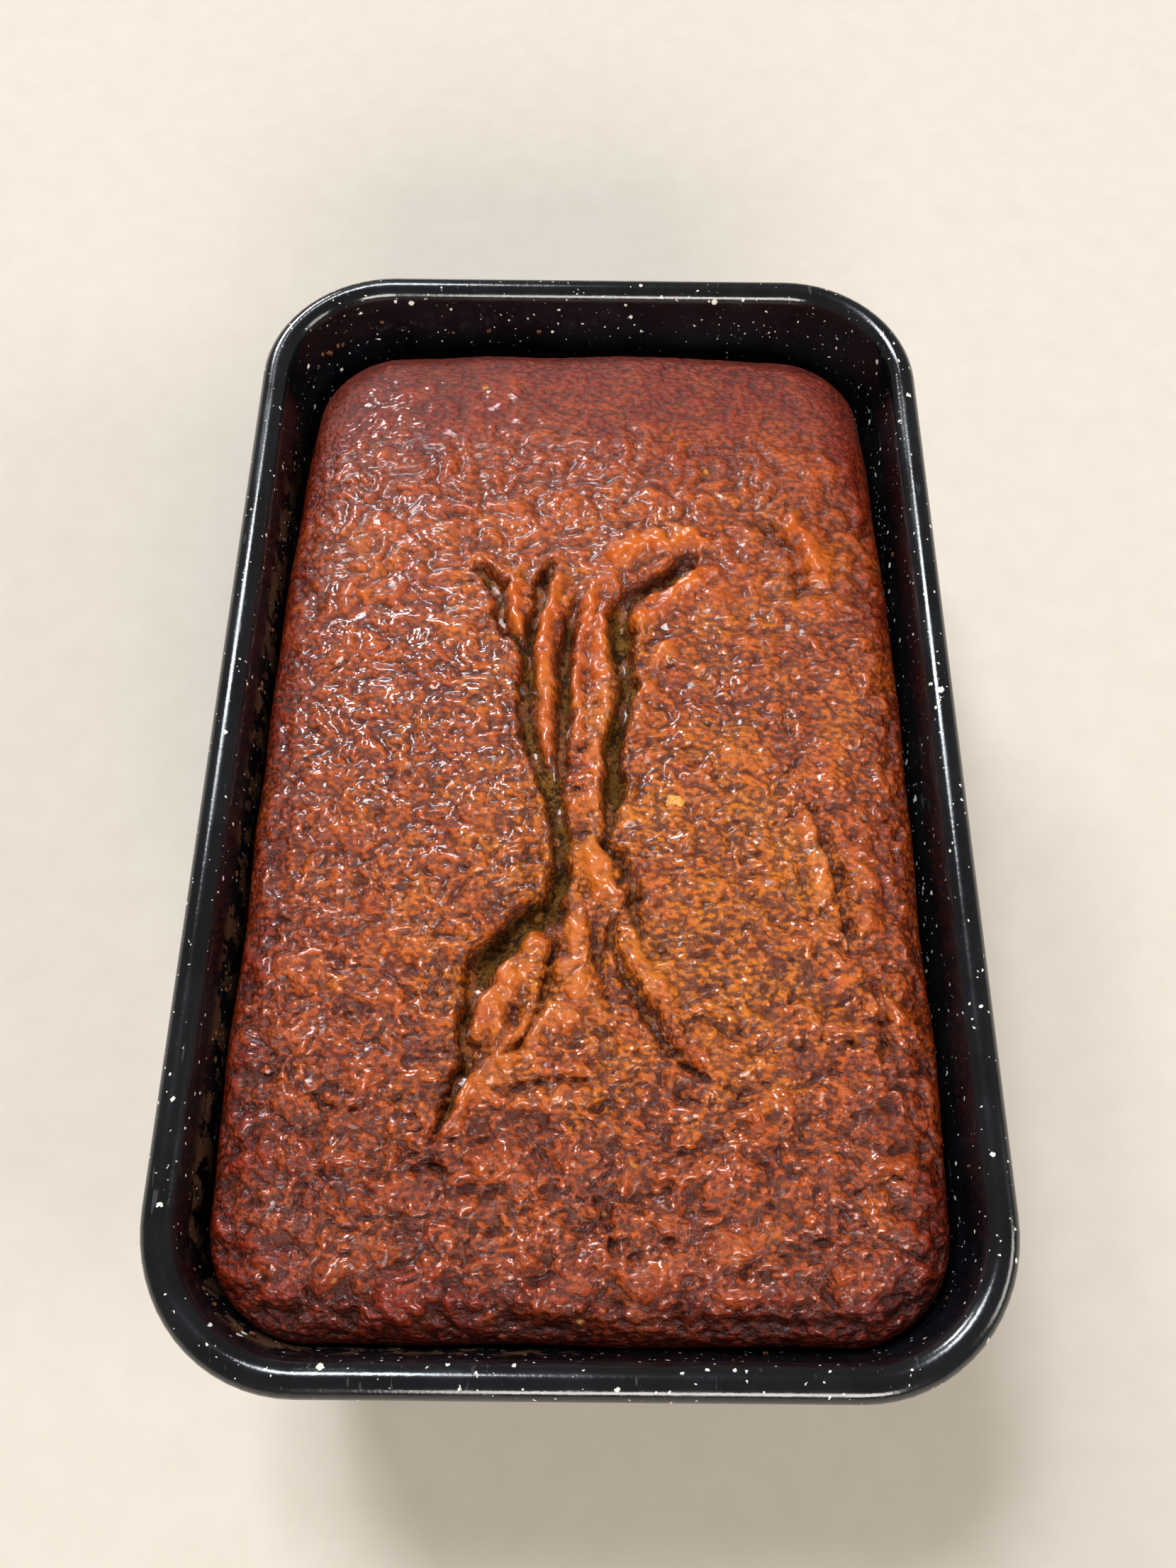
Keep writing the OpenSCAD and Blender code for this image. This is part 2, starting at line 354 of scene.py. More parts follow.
# %% Scratches, gloss and relief
drawn_out = {"Vector": place, "Scale": (1.0, 0.12, 1.0), "Rotation": (0, 0, 0.5)}
hairs = noise(tree, add(tree, "ShaderNodeMapping", drawn_out).outputs[0], 900.0, 1.0)["Fac"]
scratches = stretch(tree, hairs, 0.72, 0.76)
rubbed = mix_color(tree, times(tree, scratches, 0.4), stained, (0.08, 0.085, 0.09, 1))
speckled = mix_color(tree, spots, rubbed, (0.74, 0.71, 0.64, 1))
gloss = mix_value(tree, smudges, 0.11, 0.22)
paint(tree, shader, speckled, mix_value(tree, stains, gloss, 0.6))
shader.inputs["Specular IOR Level"].default_value = 0.52
peel = noise(tree, place, 1300.0, 3.0)["Fac"]
roughen(tree, shader, plus(tree, peel, times(tree, stains, 2.0)), 0.16, 0.15 * MM)

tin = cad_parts["tin_shell"]
tin.data.materials.clear()
tin.data.materials.append(coating)
print("coating:", len(tree.nodes), "nodes")

# %% [markdown]
# ## The wire in the rim
# The rim is rolled round a drawn steel wire. It is hidden, so plain bright steel is enough: a fine noise
# mixes two greys, and changes the shine with them.

# %% The rim's wire
wire_finish, tree, shader, place = new_material("drawn_wire")
drawn = noise(tree, place, 2200.0, 2.0)["Fac"]
steel = mix_color(tree, drawn, (0.42, 0.42, 0.43, 1), (0.62, 0.62, 0.63, 1))
paint(tree, shader, steel, mix_value(tree, drawn, 0.25, 0.45))
shader.inputs["Metallic"].default_value = 1.0
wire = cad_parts["rim_wire"]
wire.data.materials.clear()
wire.data.materials.append(wire_finish)
print("wire:", len(tree.nodes), "nodes")

# %% [markdown]
# ## Random surfaces
# Baked crust is a surface of many scales at once. Three functions, worked out for whole arrays of
# points, give all of them: smooth hills (gradient noise), rounded granules round scattered points (cell
# noise), and the distance to a drawn line, for splits and folds. The random ones have fixed seeds, so
# every run bakes the same loaf. Three small ones shift places a little, so that lines waver, and turn a
# distance into a smooth step or a soft bump.


# %% Noise and distance
TABLE = 256


def hills(x, y, size, seed):
    """Smooth random heights from about -1 to 1, with hills about one size across."""
    random = np.random.default_rng(seed)
    slope = random.uniform(0, 2 * np.pi, (TABLE, TABLE))
    turn = random.uniform(0, np.pi)
    u = (x * np.cos(turn) - y * np.sin(turn)) / size
    v = (x * np.sin(turn) + y * np.cos(turn)) / size
    i, j = np.floor(u).astype(int), np.floor(v).astype(int)
    fu, fv = u - i, v - j

    def corner(di, dj):
        angle = slope[(i + di) % TABLE, (j + dj) % TABLE]
        return np.cos(angle) * (fu - di) + np.sin(angle) * (fv - dj)

    su, sv = (t * t * t * (t * (6 * t - 15) + 10) for t in (fu, fv))
    near = corner(0, 0) * (1 - su) + corner(1, 0) * su
    far = corner(0, 1) * (1 - su) + corner(1, 1) * su
    return 1.5 * (near * (1 - sv) + far * sv)


def wavered(x, y, amount, size, seed):
    """Places shifted by smooth hills, which makes whatever is drawn at them waver."""
    return x + amount * hills(x, y, size, seed), y + amount * hills(x, y, size, seed + 1)


def granules(x, y, size, seed):
    """Distance to the nearest of many scattered points, in sizes, and two random numbers of that point."""
    random = np.random.default_rng(seed)
    jitter = random.uniform(0, 1, (TABLE, TABLE, 4))
    u, v = x / size, y / size
    i, j = np.floor(u).astype(int), np.floor(v).astype(int)
    best = np.full(u.shape, 9.0)
    traits = np.zeros(u.shape + (2,))
    for di in (-1, 0, 1):
        for dj in (-1, 0, 1):
            cell = jitter[(i + di) % TABLE, (j + dj) % TABLE]
            away = np.hypot(i + di + cell[..., 0] - u, j + dj + cell[..., 1] - v)
            closer = away < best
            best = np.where(closer, away, best)
            traits = np.where(closer[..., None], cell[..., 2:], traits)
    return best, traits[..., 0], traits[..., 1]


def line_distance(x, y, points):
    """Distance to a line through points, and how far along the line the nearest place is, from 0 to 1."""
    ends = np.array(points, float) * MM
    steps = np.hypot(*(ends[1:] - ends[:-1]).T)
    passed = np.concatenate([[0], np.cumsum(steps)])
    best, along = np.full(x.shape, 9.0), np.zeros(x.shape)
    for k, (start, end) in enumerate(zip(ends[:-1], ends[1:])):
        way = end - start
        t = np.clip(((x - start[0]) * way[0] + (y - start[1]) * way[1]) / steps[k] ** 2, 0, 1)
        away = np.hypot(x - start[0] - t * way[0], y - start[1] - t * way[1])
        closer = away < best
        best = np.where(closer, away, best)
        along = np.where(closer, (passed[k] + t * steps[k]) / passed[-1], along)
    return best, along


def ease(value, low, high):
    """Rises smoothly from 0 at low to 1 at high."""
    t = np.clip((value - low) / (high - low), 0, 1)
    return t * t * (3 - 2 * t)


def bump(distance, width, power=2):
    """A soft bump that is 1 where the distance is 0, and fades over a width."""
    return np.exp(-((distance / width) ** power))


print("noise tables are", TABLE, "cells wide")

# %% [markdown]
# ## Grids that fill the tin's outline
# The loaf's top and base are rounded rectangles. A plain square grid would leave stair steps at the
# corners. Here each row is as wide as the outline is at that row, and the rows bunch up where the
# corner turns, so the grid's border follows the outline exactly. Two grids with the same counts then
# join edge to edge.


# %% Outline grids
def row_places(radius, rows):
    """The rows' places along the length, evenly spaced along the outline."""
    corner_rows = max(3, round(rows * radius * np.pi / 2 / (radius * np.pi + 2 * corner_y)))
    turn = np.linspace(0, np.pi / 2, corner_rows)
    far = corner_y + radius * np.sin(turn)
    middle = np.linspace(-corner_y, corner_y, rows - 2 * corner_rows + 2)
    return np.concatenate([-far[::-1], middle[1:-1], far])


def outline_grid(radius, rows, columns, bunch=0.06):
    """Plan places of a grid that fills the outline whose corners have that radius."""
    y = row_places(radius, rows)
    half = corner_x + np.sqrt(np.maximum(radius**2 - np.maximum(np.abs(y) - corner_y, 0) ** 2, 0))
    s = np.linspace(-1, 1, columns)
    t = 1 - np.abs(s)
    across = np.sign(s) * (1 - t * t * (1 + bunch) / (t + bunch))
    return half[:, None] * across[None, :], np.repeat(y[:, None], columns, 1)


def edge_distance(x, y, radius):
    """How far a place lies inside the outline."""
    qx, qy = np.abs(x) - corner_x, np.abs(y) - corner_y
    return radius - np.hypot(np.maximum(qx, 0), np.maximum(qy, 0)) - np.minimum(np.maximum(qx, qy), 0)


def border(rows, columns, offset=0):
    """The indices of a grid's border, anticlockwise from above."""
    near = list(range(columns))
    right = [r * columns + columns - 1 for r in range(1, rows)]
    far = [(rows - 1) * columns + c for c in range(columns - 2, -1, -1)]
    left = [r * columns for r in range(rows - 2, 0, -1)]
    return [offset + i for i in near + right + far + left]


def grid_faces(rows, columns, offset=0, up=True):
    """The faces of a grid that looks up or down."""
    r, c = np.mgrid[0:rows - 1, 0:columns - 1]
    first = offset + r * columns + c
    order = [first, first + 1, first + columns + 1, first + columns]
    return np.stack(order if up else order[::-1], -1).reshape(-1, 4).tolist()


def band_faces(lower, upper):
    """The faces between two rings of the same count, which look outwards when lower is below upper."""
    turned = zip(lower, lower[1:] + lower[:1], upper[1:] + upper[:1], upper)
    return [list(face) for face in turned]


def mesh_piece(name, points, faces, finish, masks=None):
    """A smooth mesh object from points and faces, with numbers for the finish stored at its points."""
    mesh = bpy.data.meshes.new(name)
    mesh.from_pydata(np.asarray(points).tolist(), [], faces)
    mesh.polygons.foreach_set("use_smooth", [True] * len(mesh.polygons))
    for key, values in (masks or {}).items():
        mesh.attributes.new(key, "FLOAT", "POINT").data.foreach_set("value", np.asarray(values, np.float32))
    mesh.materials.append(finish)
    piece = bpy.data.objects.new(name, mesh)
    bpy.context.scene.collection.objects.link(piece)
    return piece


print("corner centres at", round(corner_x / MM, 1), "and", round(corner_y / MM, 1), "mm")

# %% [markdown]
# ## The loaf's shape
# The CAD model gives the loaf's outline, its edge and its crown. A real loaf isn't that regular: its
# edge wavers and sinks a little at the far end. One function bends every piece of the loaf alike, so
# that they stay together.

# %% Dome and unevenness
crust_low, crust_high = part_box("top_crust")
edge_z = crust_low.z
loaf_radius = crust_high.x - corner_x
half_x, half_y = crust_high.x, crust_high.y
SHOULDER_RISE = 8.5 * MM
SHOULDER_WIDTH = 17 * MM
CROWN_RISE = (crust_high.z - edge_z) - SHOULDER_RISE - 2 * MM
CEILING = crust_high.z


def dome(x, y, drop=0.0):
    """Height of the loaf's top without its detail, lowered by drop."""
    inward = np.clip(edge_distance(x, y, loaf_radius) / SHOULDER_WIDTH, 0, 1)
    shoulder = SHOULDER_RISE * (1 - (1 - inward) ** 2.2) ** 0.5
    crown = CROWN_RISE * (1 - np.abs(x / half_x) ** 2.2) * (1 - np.abs(y / half_y) ** 2.6)
    return edge_z + shoulder + np.maximum(crown, 0) - drop


def uneven(points):
    """Bends points of the loaf the way a real loaf wavers, more towards its top."""
    x, y, z = points.T
    share = ease(z, 0.3 * edge_z, edge_z)
    side = 1 + 0.009 * share * hills(y, 0 * y, 24 * MM, 11)
    side -= 0.026 * share * ease(y, 20 * MM, half_y)
    end = 1 + 0.004 * share * hills(x, 0 * x, 22 * MM, 12)
    end += share * np.where(y < 0, 0.009, -0.024)
    sag = np.where(y > 0, 4.6, 0.6) * np.abs(y / half_y) ** 1.8
    sag += 2.4 * ease(y, 60 * MM, half_y) * (x / half_x) ** 2
    lift = share * (0.4 * MM * hills(x, y, 45 * MM, 13) - sag * MM)
    return np.stack([x * side, y * end, z + lift], 1)


print("the loaf is", round(2 * half_x / MM, 1), "by", round(2 * half_y / MM, 1), "mm at its edge")

# %% [markdown]
# ## Splits and folds
# While it rose, the loaf tore along its middle. Two deep splits run side by side between wrinkled folds
# of skin, like a tree's trunk, with a fan of folds above and roots below. Each is a line in plan, in
# millimetres, with a half width and a depth or height. Grooves have steep sides, and the skin beside
# them is pushed up into a lip.

# %% Lines of the splits, folds and ridges
# Each split: its line, half width, depth, and how much of the olive crumb shows in it.
splits = [
    ([(22, 41), (18, 37), (13, 33.5), (9, 30.5), (6.8, 26)], 1.5, 2.0, 0.3),
    ([(7.6, 31), (6.5, 24), (6.5, 20), (7.5, 16), (8, 12)], 1.6, 4.0, 1.0),
    ([(8, 14), (8.4, 9), (7, 4), (6, 0), (5, -5), (5.5, -10), (5, -16), (4.5, -20)], 1.25, 4.0, 1.0),
    ([(4.5, -18), (4, -24), (7, -26.5), (8.5, -30), (9.5, -36), (11, -41)], 0.7, 2.2, 0.3),
    ([(-23, 40), (-21, 37), (-18, 33), (-17.5, 27), (-16, 22)], 0.95, 2.3, 0.1),
    ([(-16.5, 24), (-14, 20), (-11.5, 17), (-11.5, 10), (-12, 5), (-11, 0), (-9.5, -5), (-7.5, -10)],
     1.05, 3.0, 0.4),
    ([(-9, -7), (-7, -11), (-5.5, -15), (-4.5, -20), (-4.5, -26), (-4.3, -31), (-6, -35)], 1.35, 4.0, 1.0),
    ([(-4.8, -32), (-7, -36), (-10, -38.5), (-14, -42), (-17, -46), (-20.5, -50)], 2.1, 4.3, 1.0),
    ([(-19, -48), (-19.4, -52), (-21, -57), (-20, -63), (-21.5, -68), (-25.5, -76)], 0.8, 2.6, 0.15),
    ([(-7, 41), (-9, 35), (-9.5, 29), (-11, 22), (-11.5, 16)], 0.9, 2.7, 0.05),
    ([(-2.2, 30), (-3.5, 24), (-4, 17), (-4, 8), (-4.5, -3), (-4.5, -10), (-5, -14)], 0.9, 2.9, 0.15),
    ([(5, -37), (5.2, -42), (6.5, -46), (8.5, -49.5)], 0.7, 2.0, 0.3),
    ([(8, -48.5), (11, -53), (14, -58.5), (17, -62.5), (22, -65.5)], 0.75, 1.7, 0.4),
    ([(-4.6, -40), (-6, -46), (-6.5, -51), (-8, -55), (-10, -59), (-14, -63)], 0.6, 1.5, 0.0),
    ([(1, -36), (1.8, -42), (3.5, -48), (5, -53)], 0.5, 1.0, 0.0),
    ([(-12, -67.5), (-8, -66.4), (-5, -65.8), (-2, -65.4), (2, -66.2)], 0.5, 0.8, 0.0),
    ([(42.5, -14), (45, -22), (47, -28), (48, -35), (48, -43)], 0.75, 1.5, 0.0),
    ([(52, -46), (52.6, -51), (53, -57), (52, -63)], 0.6, 1.1, 0.0),
    ([(35, 53), (39, 48), (43, 43), (44, 37), (43, 31)], 1.0, 0.8, 0.0),
    ([(-47, -68), (-42, -71), (-37, -70)], 0.6, 1.0, 0.0),
    ([(2.5, -84), (4.5, -88), (4.8, -92), (7, -94.5)], 0.45, 1.2, 0.0),
    ([(-29, -81), (-25, -80), (-21, -81.5)], 0.5, 1.0, 0.0),
]

# Each ridge: its line, half width and height.
ridges = [
    ([(-14.5, 39), (-14.6, 30), (-14, 24), (-13.5, 12)], 1.5, 1.3),
    ([(-5, 37), (-7.5, 28), (-8.6, 21), (-8.2, 11), (-7.4, 3), (-8, -3), (-6, -9)], 1.5, 1.5),
    ([(1.6, 34), (0.4, 25), (-1, 19), (-1.6, 9), (-1.2, 0), (-1.2, -7)], 1.3, 1.3),
    ([(3.2, 31), (3, 10), (2, -5), (1, -18), (2.4, -23)], 2.2, 1.1),
    ([(0.2, -22), (1.2, -26), (2.6, -29), (4.2, -35)], 2.2, 1.9),
    ([(0, -33), (-1, -42), (-2, -52), (-5, -60)], 2.6, 1.2),
    ([(-7.5, -40), (-11.5, -46), (-15, -52), (-17.5, -60)], 2.9, 1.4),
    ([(-3, -49), (-7, -55), (-11, -60), (-16, -65), (-20, -69), (-24, -75)], 2.3, 1.1),
    ([(9.5, 22), (13.5, 28), (22, 34.5), (26, 38)], 1.6, 1.3),
    ([(9, -2), (12, 5), (14, 16), (19, 21)], 1.8, 0.9),
    ([(4, 38), (10, 43.5), (20, 45.5), (26, 45)], 2.6, 1.4),
    ([(7, -42), (11, -48), (16, -53)], 2.4, 0.9),
    ([(-13, -70), (-8, -68.6), (-3, -68), (2, -69)], 2.2, 0.6),
    ([(40, -16), (43, -26), (45, -36)], 2.6, 0.8),
    ([(50.5, -20), (51.5, -30), (51.5, -40)], 2.4, 0.9),
    ([(40, 52), (47, 44), (48, 34)], 2.6, 0.8),
    ([(5, -97), (18, -95.5), (30, -91), (36, -88)], 2.8, 0.7),
]


def groove_shape(x, y):
    """Depth of all the splits at a place, how much olive crumb shows, and the lips beside them."""
    px = x + 0.6 * MM * hills(x, y, 3.2 * MM, 21) + 0.35 * MM * hills(x, y, 1.6 * MM, 24)
    py = y + 0.6 * MM * hills(x, y, 3.2 * MM, 22) + 0.35 * MM * hills(x, y, 1.6 * MM, 25)
    swelling = 1 + 0.4 * hills(x, y, 5.5 * MM, 26)
    depth, olive, lip = np.zeros(x.shape), np.zeros(x.shape), np.zeros(x.shape)
    for line, width, deep, shows in splits:
        away, along = line_distance(px, py, line)
        taper = np.clip(np.minimum(along, 1 - along) / 0.14, 0, 1) ** 0.6
        reach = 1.35 * width * MM * swelling * (0.5 + 0.5 * taper)
        profile = bump(away, reach, 2.4)
        depth = np.maximum(depth, (1.3 * deep + 0.5) * MM * (0.25 + 0.75 * taper) * profile)
        olive = np.maximum(olive, shows * taper * bump(away, 0.75 * reach, 3))
        beside = bump(away - reach - 1.0 * MM, 1.1 * MM)
        lip = np.maximum(lip, 0.34 * deep * MM * taper * beside)
    return depth, olive, lip


def ridge_shape(x, y):
    """Height of all the ridges at a place."""
    height = np.zeros(x.shape)
    px, py = wavered(x, y, 0.8 * MM, 3.6 * MM, 27)
    for line, width, high in ridges:
        away, along = line_distance(px, py, line)
        taper = np.clip(np.minimum(along, 1 - along) / 0.16, 0, 1) ** 0.7
        beads = 1 + 0.7 * hills(x, y, 3.6 * MM, 23) + 0.4 * hills(x, y, 1.9 * MM, 29)
        height = np.maximum(height, 1.9 * high * MM * taper * beads * bump(away, width * MM, 2.4))
    return height


print(len(splits), "splits and folds,", len(ridges), "ridges")

# %% [markdown]
# ## The top crust
# The crust is a fine grid, about half a millimetre apart, raised to the dome and then worked over.
# First come slow undulations and bulges, then terraces and crumbs at the near end, then granules, pits
# where bubbles broke, ridges and splits. Folded noise, which is the size of a smooth noise without its
# sign, gives round lumps with sharp creases between them, as in baked batter. The same fields are
# stored on the mesh as masks, so that the finish can put olive in the splits and painted shade in the
# creases.
# The underside is a grid with a quarter as many rows, sewn to the fine edge, so the crust is a closed
# shell.


# %% Fields of the crust
def crust_fields(x, y):
    """Height of the crust above the plain dome, the splits' depth, and masks for the finish."""
    inward = edge_distance(x, y, loaf_radius)
    near_end = ease(-y, 20 * MM, 85 * MM)
    far_end = ease(y, 55 * MM, 88 * MM)
    px, py = wavered(x, y, 1.8 * MM, 8 * MM, 43)
    slow = 1.0 * MM * hills(x, y, 38 * MM, 31) + 0.6 * MM * hills(x, y, 17 * MM, 32)
    swell = np.abs(hills(px * 0.7, py, 9 * MM, 33))
    lump = np.abs(hills(0.9 * px, py, 4.4 * MM, 34))
    knob = np.abs(hills(0.8 * px, py, 2.3 * MM, 35))
    crumbly = np.abs(hills(0.6 * px, py, 3.1 * MM, 48))
    terraces = np.abs(hills(0.4 * px, py, 6.5 * MM, 47))
    bulges = 2.0 * (0.7 + 0.5 * near_end) * (swell - 0.3) + 1.9 * (lump - 0.3)
    bulges = MM * (bulges + near_end * (1.8 * (terraces - 0.3) + 0.9 * (crumbly - 0.3)))

    coarse, chance, _ = granules(px, py, 2.3 * MM, 36)
    small, _, _ = granules(x, y, 1.4 * MM, 37)
    beads = 0.6 * (0.5 - coarse) * (0.3 + chance) + 0.4 * (0.45 - small)
    beads = MM * (beads + 1.05 * (knob - 0.3) + 0.2 * hills(x, y, 1.2 * MM, 38))

    wx, wy = wavered(x, y, 1.2 * MM, 2.4 * MM, 45)
    hole, has_hole, wide = granules(wx * 0.6, wy, 6 * MM, 39)
    pit = (has_hole < 0.45) * bump(hole, 0.06 + 0.08 * wide)

    depth, olive, lip = groove_shape(x, y)
    ridge = ridge_shape(x, y)
    skin = np.clip(ease(ridge, 0.3 * MM, 1.6 * MM) * 0.65 + 0.5 * olive + 0.6 * far_end, 0, 0.85)
    glaze = (0.2 + 0.8 * ease(y, -50 * MM, 15 * MM)) * (1 - 0.5 * ease(x, -15 * MM, 50 * MM))
    glaze *= 1 - ease(y, 52 * MM, 82 * MM)
    rough = (1 - skin) * (1 - 0.5 * ease(y, -10 * MM, 40 * MM)) * (0.9 + 0.3 * near_end)
    fade = ease(inward, 0, 4 * MM)
    relief = fade * (slow + ridge + lip + (1 - 0.65 * far_end) * (1 - 0.85 * skin) * bulges)
    relief += (0.35 + 0.65 * fade) * rough * (beads - 0.6 * MM * pit)
    # Painted shade: this mask darkens the crust's colour in its creases, between granules, in pits and down
    # in the splits, where shade falls.
    creases = 0.3 * bump(swell, 0.07) + 0.45 * bump(lump, 0.1)
    creases += 0.4 * bump(knob, 0.14) + 0.35 * near_end * bump(crumbly, 0.12)
    hollow_shade = rough * (0.8 * creases - 0.6 * beads / MM) + 0.9 * pit + 0.3 * ease(depth, 0.6 * MM, 2 * MM)
    # The stored height also drives painted light and shade in the finish: lighter on high places, darker on
    # low ones.
    height = 0.5 + 0.32 * ((1 - 0.85 * skin) * bulges + rough * beads + 0.5 * ridge - 0.5 * depth) / MM
    masks = {"olive": olive, "hollow_shade": hollow_shade, "glaze": glaze, "crest": 0.45 * ridge / MM, "height": height}
    return relief, fade * depth, {key: np.clip(value, 0, 1) for key, value in masks.items()}


def baking(x, y):
    """How dark the crust's brown is, from 0, orange-brown, to 1, dark mahogany."""
    inward = edge_distance(x, y, loaf_radius)
    dark = 0.38 + 0.42 * (1 - ease(inward, 0, 15 * MM)) + 0.25 * ease(-y, 45 * MM, 100 * MM)
    # Darker towards the far end and a little towards the left.
    dark += 0.55 * ease(y, 46 * MM, 92 * MM) + 0.12 * ease(-x, 10 * MM, 55 * MM)
    warm = np.exp(-(((x - 14 * MM) / (36 * MM)) ** 2) - ((y + 38 * MM) / (38 * MM)) ** 2)
    dark -= 0.27 * warm
    dark += 0.2 * hills(x, y, 13 * MM, 41) + 0.16 * hills(x, y, 4.5 * MM, 42)
    return np.clip(dark, 0, 1)


x, y = outline_grid(loaf_radius, 417, 221)
relief, depth, masks = crust_fields(x, y)
print("relief runs from", round(float(relief.min()) / MM, 1), "to", round(float(relief.max()) / MM, 1), "mm")

# %% [markdown]
# The finish mixes three browns by how dark the crust is, then lets the olive crumb show in the
# splits. High places are painted lighter and low places darker than their own brown, as painted light
# and shade, which makes the relief read from above. That comes from the stored height and from a fine
# grain. The grain is drawn out sideways, as the loaf's own crumb is, and it fades on the smooth folds
# and towards the far end. A thin coat over a fairly smooth base gives the buttery shine that glints on
# every granule. Pits, pores and creases are left matt and painted near black, as painted shade.

# %% What the crust's finish reads
crust_finish, tree, shader, place = new_material("glossy_crust")
baked = stored(tree, "baked")
hollow_shade = stored(tree, "hollow_shade")
olive = stored(tree, "olive")
crest = stored(tree, "crest")
glaze = stored(tree, "glaze")
height = stored(tree, "height")
length_place = add(tree, "ShaderNodeSeparateXYZ", {0: place}).outputs["Y"]
far = stretch(tree, length_place, -10 * MM, 45 * MM)
print("the crust's finish reads 6 masks")

# %% The crust's browns
drawn_out = add(tree, "ShaderNodeMapping", {"Vector": place, "Scale": (0.65, 1.0, 1.0)}).outputs[0]
fine = place_group(tree, grain, drawn_out, Size=1.1, Pores=0.5)
blotch = place_group(tree, patches, place, Size=3.0, Contrast=1.1)["Mask"]
browning = plus(tree, baked, stretch(tree, blotch, 0.0, 1.0, -0.08, 0.08))
brown = add(tree, "ShaderNodeValToRGB", {0: browning})
for stop, color in ((0.0, (0.53, 0.144, 0.003)), (0.4, (0.39, 0.069, 0.003)), (1.0, (0.19, 0.015, 0.002))):
    known = [e for e in brown.color_ramp.elements if abs(e.position - stop) < 0.01]
    element = known[0] if known else brown.color_ramp.elements.new(stop)
    element.color = (*color, 1)
raised = mix_color(tree, times(tree, crest, 0.3), brown.outputs[0], (0.34, 0.085, 0.014, 1))
torn = mix_color(tree, stretch(tree, olive, 0.05, 0.55), raised, (0.36, 0.098, 0.004, 1))
torn = mix_color(tree, stretch(tree, olive, 0.45, 0.95), torn, (0.15, 0.052, 0.002, 1))
calm = plus(tree, times(tree, crest, 0.5), times(tree, far, 0.4))
lively = stretch(tree, calm, 0.0, 1.0, 1.0, 0.1)
grain_height = stretch(tree, fine["Height"], 0.05, 0.45)
high = plus(tree, times(tree, height, 0.5), times(tree, grain_height, 0.5))
high = mix_value(tree, lively, height, high)
# Painted light and shade: high places are painted lighter and low places darker than their own brown, as if
# lit from above.
painted_light_and_shade = mix_color(tree, stretch(tree, high, 0.1, 0.85), (0.28, 0.2, 0.15, 1), (1.4, 1.36, 1.26, 1))
shaded = add(tree, "ShaderNodeMix", {0: 1.0, 6: torn, 7: painted_light_and_shade}, data_type="RGBA", blend_type="MULTIPLY")
# Pores, pits and creases are painted near black as shade, and are also left matt and without a coat.
pores = times(tree, fine["Pores"], times(tree, lively, 0.4))
matt_shaded_hollows = sums(tree, "MAXIMUM", pores, stretch(tree, hollow_shade, 0.3, 1.0, 0.0, 0.8))
bits = place_group(tree, flecks, place, Spacing=8.0, Radius=0.5, Share=0.22)["Mask"]
torn = mix_color(tree, times(tree, bits, 0.7), shaded.outputs[2], (0.62, 0.27, 0.03, 1))
crust_color = mix_color(tree, matt_shaded_hollows, torn, (0.06, 0.008, 0.002, 1))
print("browns:", len(tree.nodes), "nodes")

# %% The crust's shine and relief
shine = stretch(tree, blotch, 0.1, 0.9, 0.07, 0.16)
shine = plus(tree, shine, stretch(tree, glaze, 0.0, 0.1, 0.25, 0.0))
shine = plus(tree, shine, times(tree, far, 0.15))
paint(tree, shader, crust_color, mix_value(tree, matt_shaded_hollows, shine, 0.55))
wet = sums(tree, "MAXIMUM", glaze, stretch(tree, high, 0.35, 0.8, 0.0, 0.9))
wet = times(tree, wet, stretch(tree, far, 0.0, 1.0, 1.0, 0.55))
tree.links.new(mix_value(tree, matt_shaded_hollows, wet, 0.0), shader.inputs["Coat Weight"])
shader.inputs["Coat Roughness"].default_value = 0.06
shader.inputs["Specular IOR Level"].default_value = 0.44
roughen(tree, shader, times(tree, fine["Height"], lively), 1.0, 1.0 * MM)
print("crust:", len(tree.nodes), "nodes")


# %% Build the top crust
CRUST_THICKNESS = 2.5 * MM
SEW = 4


def crust_shell(x, y, top, under):
    """A closed shell from a fine upper grid and a coarse lower one, sewn along the border."""
    rows, columns = x.shape
    coarse = (slice(None, None, SEW), slice(None, None, SEW))
    shrink = 1 - 1.5 * MM / half_x
    below = np.stack([x[coarse] * shrink, y[coarse] * shrink, under[coarse]], -1)
    above = np.stack([x, y, top], -1)
    points = np.concatenate([above.reshape(-1, 3), below.reshape(-1, 3)])
    low_rows, low_columns = below.shape[:2]
    offset = rows * columns
    fine_ring = border(rows, columns)
    coarse_ring = border(low_rows, low_columns, offset)
    fine_ring.append(fine_ring[0])
    coarse_ring.append(coarse_ring[0])
    sewn = [
        fine_ring[SEW * k:SEW * k + SEW + 1][::-1] + coarse_ring[k:k + 2]
        for k in range(len(coarse_ring) - 1)
    ]
    faces = grid_faces(rows, columns) + grid_faces(low_rows, low_columns, offset, up=False) + sewn
    return points, faces


top = dome(x, y) + relief - depth
top -= 0.5 * np.maximum(top - CEILING, 0)
under = np.maximum(np.minimum(dome(x, y) - CRUST_THICKNESS, top - 0.8 * MM), edge_z + 0.05 * MM)
points, faces = crust_shell(x, y, top, under)
masks["baked"] = baking(x, y)
lower_count = len(points) - x.size
masks = {key: np.concatenate([value.ravel(), np.full(lower_count, 0.5)]) for key, value in masks.items()}
top_crust = mesh_piece("glossy_top_crust", uneven(points), faces, crust_finish, masks)
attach(top_crust, "loaf")
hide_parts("top_crust")
print("top crust:", sum(len(face) - 2 for face in faces), "triangles")

# %% [markdown]
# ## The crumb
# Under the crust lies the crumb, which shows only where the crust has torn open. Its top follows the
# same dome a crust's thickness lower, with the torn, bubbly surface of bread inside. Where a split is
# deeper than the crust the crumb comes through it, so the split's floor has its own piece and its own
# finish.

